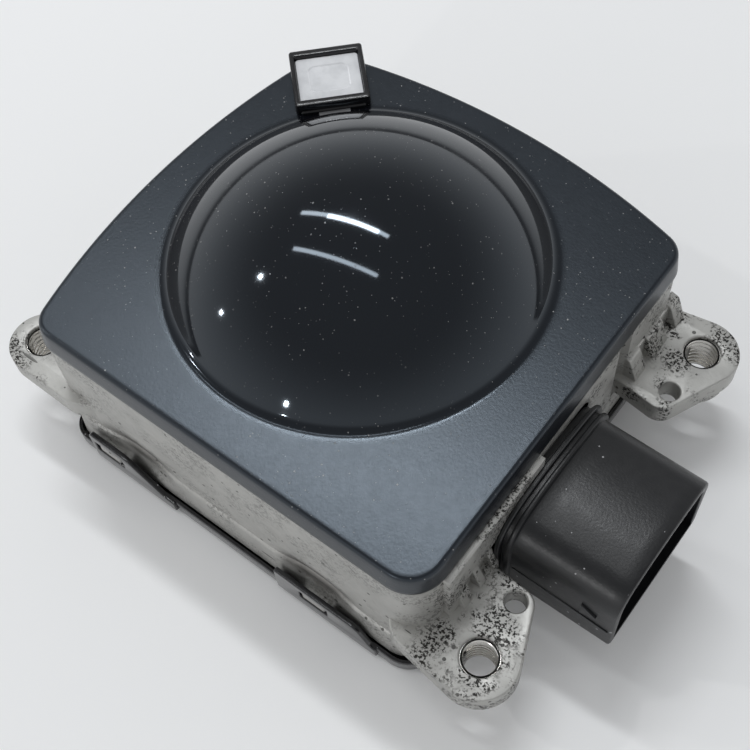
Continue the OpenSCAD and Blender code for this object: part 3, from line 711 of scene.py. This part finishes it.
mr = [sq(5.0, 4.6, 33.8, 0.5), sq(5.12, 4.72, 33.85, 0.55), sq(5.12, 4.72, 34.05, 0.55), sq(5.02, 4.62, 34.15, 0.5), sq(3.35, 2.9, 34.15, 1.3), sq(3.15, 2.7, 34.0, 1.2)]
mv, mfc = loft(mr, first=(0, 0, 33.8), last=(0, 0, 34.0))
mir = new_object("mirror_plate", mv, mfc, 20)
mir.data.transform(MT)
piece(mir, M_MIRROR, "alignment_mirror", "alignment_mirror")

# ---------------------------------------------------------------- floor, world, lights
fm, nt, b = material("floor_white")
v = coords(nt)
sep = add(nt, "ShaderNodeVectorMath", operation="LENGTH")
link(nt, v, sep.inputs[0])
near = mixc(nt, noise(nt, v, 3, 2), (0.90, 0.90, 0.90), (0.93, 0.93, 0.93))
# painted shade: the floor colour fades from near white to grey away from the object, standing in for light falling off
# with distance
link(nt, mixc(nt, ramp(nt, sep.outputs["Value"], 0.22, 0.95), near, (0.34, 0.35, 0.36)), b.inputs["Base Color"])
b.inputs["Roughness"].default_value = 0.9
b.inputs["Specular IOR Level"].default_value = 0.1
me = bpy.data.meshes.new("floor")
me.from_pydata([(-6, -6, 0), (6, -6, 0), (6, 6, 0), (-6, 6, 0)], [], [(0, 1, 2, 3)])
me.materials.append(fm)
floor = bpy.data.objects.new("floor", me)
scene.collection.objects.link(floor)
floor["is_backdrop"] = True

w = bpy.data.worlds.new("studio")
scene.world = w
w.use_nodes = True
nt = w.node_tree
bg = nt.nodes["Background"]
tc = add(nt, "ShaderNodeTexCoord")
dot = add(nt, "ShaderNodeVectorMath", operation="DOT_PRODUCT")
link(nt, tc.outputs["Generated"], dot.inputs[0])
dot.inputs[1].default_value = (0, 0, 1)
s = ramp(nt, dot.outputs["Value"], 0.0, 0.75, 1.05, 0.36)
link(nt, s, bg.inputs["Strength"])
bg.inputs["Color"].default_value = (0.97, 0.985, 1.0, 1)


def area(name, loc, aim, sx, sy, energy, colour=(1, 1, 1), spin=0.0):
    l = bpy.data.lights.new(name, "AREA")
    l.shape, l.size, l.size_y, l.energy, l.color = "RECTANGLE", sx, sy, energy, colour
    o = bpy.data.objects.new(name, l)
    scene.collection.objects.link(o)
    z = (Vector(loc) - Vector(aim)).normalized()
    x = Vector((math.cos(spin), math.sin(spin), 0))
    x = (x - z * x.dot(z)).normalized()
    y = z.cross(x)
    o.matrix_world = Matrix(((x.x, y.x, z.x, loc[0]), (x.y, y.y, z.y, loc[1]), (x.z, y.z, z.z, loc[2]), (0, 0, 0, 1)))
    return o


area("tube_a", (-0.292, 0.238, 0.80), (0, 0, 0.03), 0.64, 0.032, 0.75, (0.96, 0.98, 1.0), math.atan2(107, 629))
area("tube_b", (-0.160, -0.036, 0.80), (0, 0, 0.03), 0.61, 0.028, 0.55, (0.96, 0.98, 1.0), math.atan2(123, 598))
area("key", (-0.235, 0.243, 0.80), (0, 0, 0.03), 0.36, 0.033, 1.5, (0.94, 0.97, 1.0), math.atan2(107, 629))
area("spot_a", (-0.72, -0.42, 0.80), (0, 0, 0.03), 0.03, 0.03, 0.8)
area("spot_b", (-0.60, -0.47, 0.30), (0, 0, 0.03), 0.02, 0.02, 0.35)
area("spot_c", (0.0, -0.80, 0.26), (0, 0, 0.03), 0.02, 0.035, 0.5)
scene.view_settings.view_transform = "Standard"
scene.view_settings.exposure = 0.0

a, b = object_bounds()
